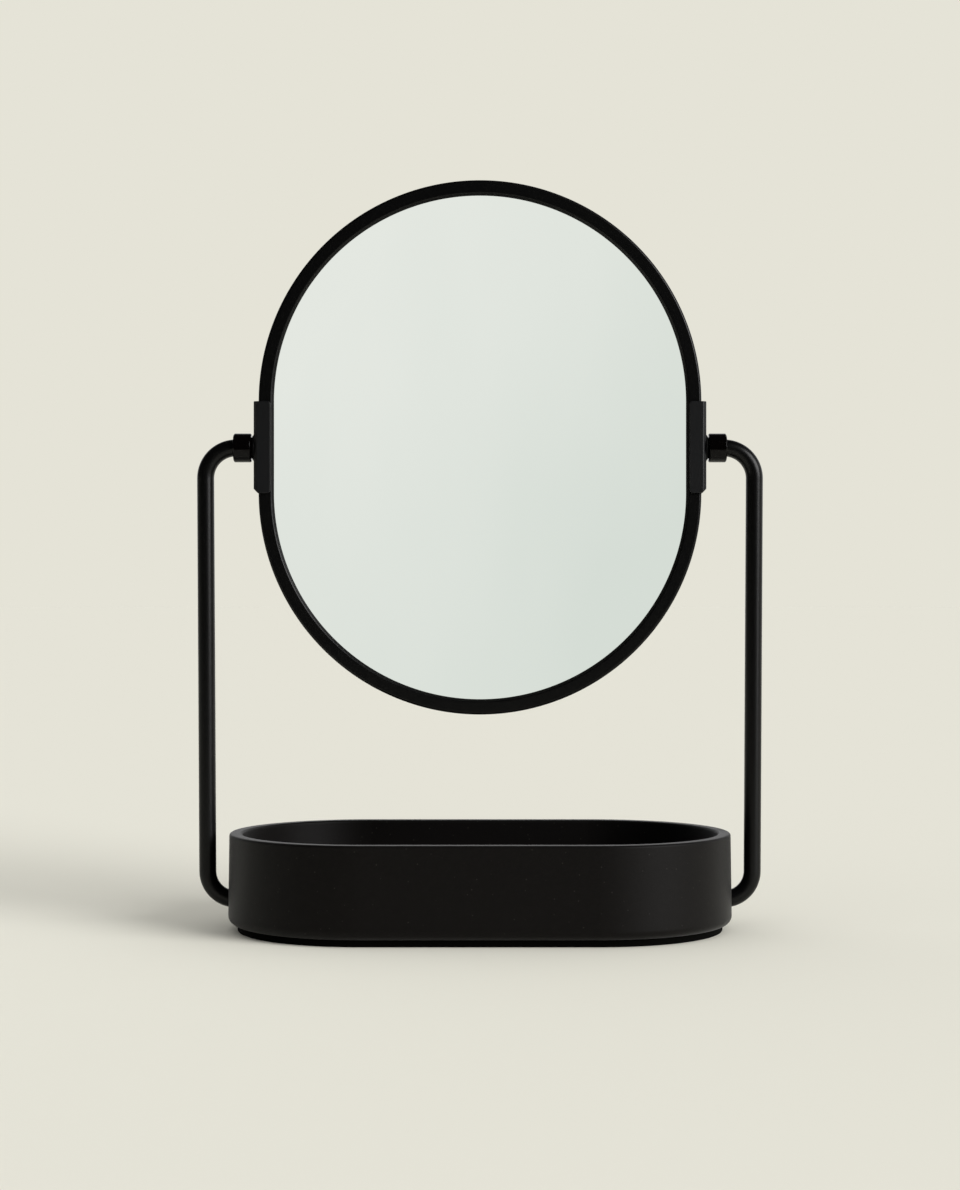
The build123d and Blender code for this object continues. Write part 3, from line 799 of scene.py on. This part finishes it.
rod_tree, given = new_shape(
    "bent_rod",
    {
        "Rod Radius": "Float",
        "Foot Bore Radius": "Float",
        "Foot Bore Depth": "Float",
        "Pivot Bore Radius": "Float",
        "Pivot Bore Depth": "Float",
    },
)
route = rounded_line(rod_tree, given["Start"], BEND_STEPS)
circle = add(
    rod_tree,
    "GeometryNodeCurvePrimitiveCircle",
    {"Radius": given["Rod Radius"]},
    {"Resolution": ROD_FACETS},
)
rod = add(
    rod_tree,
    "GeometryNodeCurveToMesh",
    {"Curve": route, "Profile Curve": circle.outputs["Curve"]},
    {"Fill Caps": True},
)
along = add(
    rod_tree,
    "FunctionNodeAlignRotationToVector",
    {"Vector": add(rod_tree, "GeometryNodeInputTangent").outputs["Tangent"]},
    axis="Z",
)
solid = rod.outputs["Mesh"]
for end, ends in {"Foot Bore": (1, 0), "Pivot Bore": (0, 1)}.items():
    both_ways = add(
        rod_tree, "ShaderNodeMath", {0: given[end + " Depth"]}, {1: 2}, operation="MULTIPLY"
    )
    drill = add(
        rod_tree,
        "GeometryNodeMeshCylinder",
        {"Radius": given[end + " Radius"], "Depth": both_ways.outputs["Value"]},
        {"Vertices": DRILL_FACETS},
    )
    at_end = add(
        rod_tree,
        "GeometryNodeCurveEndpointSelection",
        values={"Start Size": ends[0], "End Size": ends[1]},
    )
    placed = add(
        rod_tree,
        "GeometryNodeInstanceOnPoints",
        {
            "Points": route,
            "Selection": at_end.outputs["Selection"],
            "Instance": drill.outputs["Mesh"],
            "Rotation": along.outputs["Rotation"],
        },
    )
    bit = add(rod_tree, "GeometryNodeRealizeInstances", {"Geometry": placed.outputs["Instances"]})
    solid = add(
        rod_tree,
        "GeometryNodeMeshBoolean",
        {"Mesh 1": solid, "Mesh 2": bit.outputs["Geometry"]},
        operation="DIFFERENCE",
        solver="EXACT",
    ).outputs["Mesh"]
end_shape(rod_tree, solid, given["Finish"])

# %% Left and right arm
SIGN = {"left": -1, "right": 1}
ROD_RADIUS = 4
FOOT_Z = 14
ROD_FOOT_END_X = 96.8
ROD_FOOT_X = 128.0
ROD_TOP_X = 129.2
ROD_PIVOT_END_X = 109.2
FOOT_BEND = 13.2
TOP_BEND = 14.3
FOOT_BORE_RADIUS = 2.53
FOOT_BORE_DEPTH = 10.5
PIVOT_BORE_RADIUS = 2.03
PIVOT_BORE_DEPTH = 8.1

for side, sign in SIGN.items():
    route = [
        (sign * ROD_FOOT_END_X, 0, FOOT_Z, 0),
        (sign * ROD_FOOT_X, 0, FOOT_Z, FOOT_BEND),
        (sign * ROD_TOP_X, 0, PIVOT_Z * 1000, TOP_BEND),
        (sign * ROD_PIVOT_END_X, 0, PIVOT_Z * 1000, 0),
    ]
    arm = make_piece(
        side + "_bent_arm",
        rod_tree,
        corner_line(route, closed=False),
        "black_epoxy_powder_coat",
        Rod_Radius=mm(ROD_RADIUS),
        Foot_Bore_Radius=mm(FOOT_BORE_RADIUS),
        Foot_Bore_Depth=mm(FOOT_BORE_DEPTH),
        Pivot_Bore_Radius=mm(PIVOT_BORE_RADIUS),
        Pivot_Bore_Depth=mm(PIVOT_BORE_DEPTH),
    )
    settle(arm, "stand", "black_coated_steel", side + "_arm")

# %% [markdown]
# ### Sections carried round an axis
#
# The next tree takes a closed section, drawn as distance from the axis and height along it, and
# carries it round. A circle gives a turned piece. Pulled apart by a straight side, the same circle
# gives the long round shape of the mirror frame. The circle starts half a step round, so that no
# point of it lies on the line where it is pulled apart.

# %% Ring tree
SECTION_STEPS = 4

ring_tree, given = new_shape(
    "ring_from_section", {"Ring Radius": "Float", "Straight Side": "Float", "Ring Steps": "Int"}
)
section = rounded_line(ring_tree, given["Start"], SECTION_STEPS)
circle = add(
    ring_tree,
    "GeometryNodeCurvePrimitiveCircle",
    {"Resolution": given["Ring Steps"], "Radius": given["Ring Radius"]},
)
half_step = add(ring_tree, "ShaderNodeMath", {1: given["Ring Steps"]}, {0: pi}, operation="DIVIDE")
turn = add(ring_tree, "ShaderNodeCombineXYZ", {"Z": half_step.outputs["Value"]})
turned_circle = add(
    ring_tree,
    "GeometryNodeTransform",
    {"Geometry": circle.outputs["Curve"], "Rotation": turn.outputs["Vector"]},
)
spot = add(ring_tree, "GeometryNodeInputPosition").outputs["Position"]
height = add(ring_tree, "ShaderNodeSeparateXYZ", {"Vector": spot}).outputs["Y"]
which_end = add(ring_tree, "ShaderNodeMath", {0: height}, operation="SIGN")
half_side = add(
    ring_tree, "ShaderNodeMath", {0: given["Straight Side"]}, {1: 0.5}, operation="MULTIPLY"
)
apart = add(
    ring_tree,
    "ShaderNodeMath",
    {0: which_end.outputs["Value"], 1: half_side.outputs["Value"]},
    operation="MULTIPLY",
)
shift = add(ring_tree, "ShaderNodeCombineXYZ", {"Y": apart.outputs["Value"]})
pulled = add(
    ring_tree,
    "GeometryNodeSetPosition",
    {"Geometry": turned_circle.outputs["Geometry"], "Offset": shift.outputs["Vector"]},
)
upright = add(
    ring_tree, "GeometryNodeSetCurveNormal", {"Curve": pulled.outputs["Geometry"]}, mode="Z_UP"
)
swept = add(
    ring_tree,
    "GeometryNodeCurveToMesh",
    {"Curve": upright.outputs["Curve"], "Profile Curve": section},
)
closed = add(
    ring_tree,
    "GeometryNodeMergeByDistance",
    {"Geometry": swept.outputs["Mesh"]},
    {"Distance": mm(WELD)},
)
end_shape(ring_tree, closed.outputs["Geometry"], given["Finish"])


def ring(name, finish, section, radius, place, straight=0, steps=64):
    """A ring from a section of (radius, height, rounding) in millimetres, put where place says.

    radius is the one that the swept circle runs at, which for a turned piece may be any.
    """
    corners = [(r - radius, -height, 0, rounding) for r, height, rounding in section]
    piece = make_piece(
        name,
        ring_tree,
        corner_line(corners, closed=True),
        finish,
        Ring_Radius=mm(radius),
        Straight_Side=mm(straight),
        Ring_Steps=steps,
    )
    piece.data.transform(place)
    return piece


FACING_FRONT = Matrix.Rotation(radians(90), 4, "X")
FACING_SIDE = {
    "left": Matrix.Rotation(radians(-90), 4, "Y"),
    "right": Matrix.Rotation(radians(90), 4, "Y"),
}


def at(x, y, z, facing):
    """The matrix that puts a ring's axis through this point in metres, along facing."""
    return Matrix.Translation((x, y, z)) @ facing


# %% [markdown]
# ### The mirror frame
#
# The frame is a shallow tray of steel with a window in its front: a narrow face, a slope towards
# the glass, a narrow slope on the outside, and a wall that goes back to the cover. Inside are six
# posts for the cover's screws and four bosses for the clips' screws, joined on as solids. Then the
# holes for the clips' screws and the pivots are cut through the wall.

# %% Mirror frame
FRAME_SECTION = [
    (96.6, 4.0, 0),
    (96.6, 4.2, 0.08),
    (97.9, 5.5, 0.9),
    (103.0, 5.5, 1.0),
    (103.8, 4.7, 1.0),
    (103.8, -3.7, 0.15),
    (102.3, -3.7, 0.1),
    (102.3, 4.0, 0),
]
POST_SECTION = [
    (0, 4.4, 0),
    (1.9, 4.4, 0),
    (1.9, -3.7, 0),
    (1.13, -3.7, 0),
    (1.13, 1.5, 0),
    (0, 1.5, 0),
]
POST_RADIUS_FROM_MIDDLE = 100.5
BOSS_SECTION = [(1.53, 99.7, 0), (2.6, 99.7, 0), (2.6, 103.0, 0), (1.53, 103.0, 0)]
CLIP_SCREW_HOLE = [(0, 99, 0), (1.53, 99, 0), (1.53, 105, 0), (0, 105, 0)]
PIVOT_SCREW_HOLE = [(0, 99, 0), (2.3, 99, 0), (2.3, 105, 0), (0, 105, 0)]
CLIP_SCREW_HEIGHTS = [PIVOT_Z - mm(14), PIVOT_Z + mm(14)]
COVER_SCREW_ANGLES = (30, 90, 150)

cover_screw_places = [
    (
        mm(POST_RADIUS_FROM_MIDDLE) * cos(radians(angle)),
        PIVOT_Z + end * (STRAIGHT_HALF + mm(POST_RADIUS_FROM_MIDDLE) * sin(radians(angle))),
    )
    for end in (1, -1)
    for angle in COVER_SCREW_ANGLES
]
coat = "black_epoxy_powder_coat"
mirror_ring = ring(
    "bevelled_mirror_frame",
    coat,
    FRAME_SECTION,
    RING_RADIUS * 1000,
    at(0, 0, PIVOT_Z, FACING_FRONT),
    straight=STRAIGHT_HALF * 2000,
    steps=240,
)
posts = [
    ring("post", coat, POST_SECTION, radius=1.5, place=at(x, 0, z, FACING_FRONT), steps=24)
    for x, z in cover_screw_places
]
bosses = [
    ring("boss", coat, BOSS_SECTION, radius=2, place=at(0, 0, z, facing), steps=24)
    for facing in FACING_SIDE.values()
    for z in CLIP_SCREW_HEIGHTS
]
combine(mirror_ring, posts + bosses, "UNION")
wall_holes = [
    ring("hole", coat, CLIP_SCREW_HOLE, radius=1, place=at(0, 0, z, facing), steps=24)
    for facing in FACING_SIDE.values()
    for z in CLIP_SCREW_HEIGHTS
]
wall_holes += [
    ring("hole", coat, PIVOT_SCREW_HOLE, radius=1, place=at(0, 0, PIVOT_Z, facing), steps=32)
    for facing in FACING_SIDE.values()
]
combine(mirror_ring, wall_holes, "DIFFERENCE")
settle(mirror_ring, "mirror_head", "black_coated_steel", "mirror_frame")

# %% [markdown]
# ### Sleeves and cone washers
#
# A plain turned sleeve covers each rod's end at the pivot, with a small slope at both ends, and a
# thin tapered washer of nylon parts it from the clip. Both are turned, so both are rings.

# %% Sleeves and cone washers
SLEEVE_SECTION = [
    (2.3, 107.4, 0),
    (6.31, 107.4, 0.3),
    (6.81, 107.9, 0.3),
    (6.81, 115.3, 0.3),
    (6.31, 115.8, 0.3),
    (4.56, 115.8, 0.1),
    (4.06, 115.3, 0.1),
    (4.06, 109.2, 0),
    (2.3, 109.2, 0),
]
CONE_SECTION = [(2.06, 106.0, 0), (7.1, 106.0, 0.03), (4.7, 107.4, 0.12), (2.06, 107.4, 0)]
enamel = "gloss_black_enamel_on_turned_steel"
nylon = "moulded_black_nylon"

for side, facing in FACING_SIDE.items():
    where = at(0, 0, PIVOT_Z, facing)
    sleeve = ring(side + "_turned_sleeve", enamel, SLEEVE_SECTION, 5, where, steps=96)
    settle(sleeve, "stand", "gloss_black_steel", side + "_pivot_sleeve")
    cone = ring(side + "_tapered_washer", nylon, CONE_SECTION, 5, where, steps=96)
    settle(cone, "stand", "washer_nylon", side + "_cone_washer")

# %% [markdown]
# ### Screws
#
# The screws on the head are all one kind, in two sizes: a cone under a flat head, a plain shank
# and a cross recess. One screw is turned and cut for each size, and Instance on Points sets it on
# every place. Each point carries the direction that its head faces, and Align Rotation to Vector
# turns the screw to it.

# %% Screws on points
screw_tree, given = new_shape("screws_on_points", {"Screw": "Object"})
one_screw = add(screw_tree, "GeometryNodeObjectInfo", {"Object": given["Screw"]})
facing = add(
    screw_tree,
    "GeometryNodeInputNamedAttribute",
    values={"Name": "facing"},
    data_type="FLOAT_VECTOR",
)
turn = add(
    screw_tree,
    "FunctionNodeAlignRotationToVector",
    {"Vector": facing.outputs["Attribute"]},
    axis="Z",
)
set_out = add(
    screw_tree,
    "GeometryNodeInstanceOnPoints",
    {
        "Points": given["Start"],
        "Instance": one_screw.outputs["Geometry"],
        "Rotation": turn.outputs["Rotation"],
    },
)
end_shape(screw_tree, set_out.outputs["Instances"], given["Finish"])

HEAD_EDGE = 0.12
TIP_SLOPE = 0.4
CROSS_SPAN = 0.62
CROSS_SLOT = 0.16
CROSS_DEPTH = 0.7


def screws(name, finish, head, shank, length, places):
    """Flat-headed screws, sizes in millimetres, at places of (point, facing) in metres.

    The cross recess is as long and wide as its share of the head's width, and as deep as its
    share of the cone's height.
    """
    cone = (head - shank) / 2
    section = [
        (0, 0, 0),
        (head / 2, 0, 0.06),
        (head / 2, -HEAD_EDGE, 0.03),
        (shank / 2, -cone, 0.1),
        (shank / 2, -length + TIP_SLOPE, 0),
        (shank / 2 - TIP_SLOPE, -length, 0),
        (0, -length, 0),
    ]
    screw = ring("one_screw", finish, section, 1, Matrix.Identity(4), steps=36)
    slots = []
    for angle in (0, 90):
        slot = put_in_scene("slot", bpy.data.meshes.new("slot"))
        box = bmesh.new()
        bmesh.ops.create_cube(box, size=1)
        size = (mm(CROSS_SPAN * head), mm(CROSS_SLOT * head), mm(2 * CROSS_DEPTH * cone), 1)
        box.transform(Matrix.Rotation(radians(angle), 4, "Z") @ Matrix.Diagonal(size))
        box.to_mesh(slot.data)
        box.free()
        slots.append(slot)
    combine(screw, slots, "DIFFERENCE")
    points = bpy.data.meshes.new(name)
    points.from_pydata([point for point, _ in places], [], [])
    directions = points.attributes.new("facing", "FLOAT_VECTOR", "POINT")
    for i, (_, direction) in enumerate(places):
        directions.data[i].vector = direction
    made = make_piece(name, screw_tree, points, finish, Screw=screw)
    bpy.data.objects.remove(screw)
    return made


# %% Set the screws
cover_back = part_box("back_cover")[1].y
clip_low, clip_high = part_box("right_clip")

cover_screws = screws(
    "cover_screws",
    "black_oxide_steel",
    head=4.2,
    shank=2.2,
    length=6.5,
    places=[((x, cover_back, z), (0, 1, 0)) for x, z in cover_screw_places],
)
settle(cover_screws, "mirror_head", "black_screws", "back_cover_screws")

side_screws = screws(
    "side_clip_screws",
    "black_oxide_steel",
    head=5.4,
    shank=3,
    length=5.8,
    places=[
        ((sign * clip_high.x, 0, z), (sign, 0, 0))
        for sign in SIGN.values()
        for z in CLIP_SCREW_HEIGHTS
    ],
)
settle(side_screws, "mirror_head", "black_screws", "clip_screws")

# %% [markdown]
# ### Clips
#
# A clip is a short length of steel channel pushed over the frame and its cover. Its outer edges
# slope, its lower end has a cut corner, and the corners that lie on the glass side are rounded so
# that they don't scratch. A few straight cuts describe it best, so it is made face by face in
# bmesh: the channel's outline is pushed up to its height, cut at the foot, rounded and drilled.

# %% Clips
CLIP_LIP_END = 98.1
CLIP_OUTLINE = [
    (CLIP_LIP_END, -7.2),
    (104.5, -7.2),
    (106.0, -5.7),
    (106.0, 5.7),
    (104.5, 7.2),
    (CLIP_LIP_END, 7.2),
    (CLIP_LIP_END, 5.5),
    (103.8, 5.5),
    (103.8, -5.5),
    (CLIP_LIP_END, -5.5),
]
CLIP_FOOT_CUT = 2.0
CLIP_CORNER = 1.4
CLIP_EDGE = 0.3
CLIP_EDGE_ANGLE = 40
SAME_PLACE = 0.01
SINK_SECTION = [(0, 99, 0), (1.8, 99, 0), (1.8, 105.0, 0), (3.3, 106.5, 0), (0, 106.5, 0)]
PIVOT_HOLE_SECTION = [(0, 99, 0), (2.06, 99, 0), (2.06, 107, 0), (0, 107, 0)]
graphite = "matt_graphite_powder_coat"

for side, sign in SIGN.items():
    clip_mesh = bpy.data.meshes.new(side + "_channel_clip")
    clip = put_in_scene(side + "_channel_clip", clip_mesh)
    shape = bmesh.new()
    foot = [shape.verts.new((mm(sign * x), mm(y), clip_low.z)) for x, y in CLIP_OUTLINE]
    outline = shape.faces.new(foot)
    pushed = bmesh.ops.extrude_face_region(shape, geom=[outline])
    top = [item for item in pushed["geom"] if isinstance(item, bmesh.types.BMVert)]
    bmesh.ops.translate(shape, vec=(0, 0, clip_high.z - clip_low.z), verts=top)
    bmesh.ops.recalc_face_normals(shape, faces=shape.faces)
    everything = [*shape.verts, *shape.edges, *shape.faces]
    cut = bmesh.ops.bisect_plane(
        shape,
        geom=everything,
        plane_co=(sign * (clip_high.x - mm(CLIP_FOOT_CUT)), 0, clip_low.z),
        plane_no=(sign, 0, -1),
        clear_outer=True,
    )
    cut_edges = [item for item in cut["geom_cut"] if isinstance(item, bmesh.types.BMEdge)]
    bmesh.ops.holes_fill(shape, edges=cut_edges)
    inner_corners = [
        edge
        for edge in shape.edges
        if all(abs(abs(vert.co.x) - mm(CLIP_LIP_END)) < mm(SAME_PLACE) for vert in edge.verts)
        and abs(edge.verts[0].co.z - edge.verts[1].co.z) < mm(SAME_PLACE)
    ]
    bmesh.ops.bevel(
        shape, geom=inner_corners, offset=mm(CLIP_CORNER), segments=6, profile=0.5, affect="EDGES"
    )
    bmesh.ops.recalc_face_normals(shape, faces=shape.faces)
    shape.to_mesh(clip_mesh)
    shape.free()
    clip_mesh.materials.append(finishes[graphite])
    facing = FACING_SIDE[side]
    holes = [
        ring("sink", graphite, SINK_SECTION, radius=1, place=at(0, 0, z, facing), steps=40)
        for z in CLIP_SCREW_HEIGHTS
    ]
    where = at(0, 0, PIVOT_Z, facing)
    holes.append(ring("pivot_hole", graphite, PIVOT_HOLE_SECTION, 1, where, steps=40))
    combine(clip, holes, "DIFFERENCE")
    softened = clip.modifiers.new("softened edges", "BEVEL")
    softened.width = mm(CLIP_EDGE)
    softened.segments = 3
    softened.limit_method = "ANGLE"
    softened.angle_limit = radians(CLIP_EDGE_ANGLE)
    keep_result(clip)
    settle(clip, "mirror_head", "clip_coating", side + "_clip")

# %% [markdown]
# ## Size
#
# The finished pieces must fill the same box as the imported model.

# %% Check the size and hand over
visual_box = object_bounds()
box_change = max(
    abs(cad - visual)
    for cad_corner, visual_corner in zip(cad_box, visual_box)
    for cad, visual in zip(cad_corner, visual_corner)
)
print("largest change of the box, mm:", round(box_change * 1000, 3))
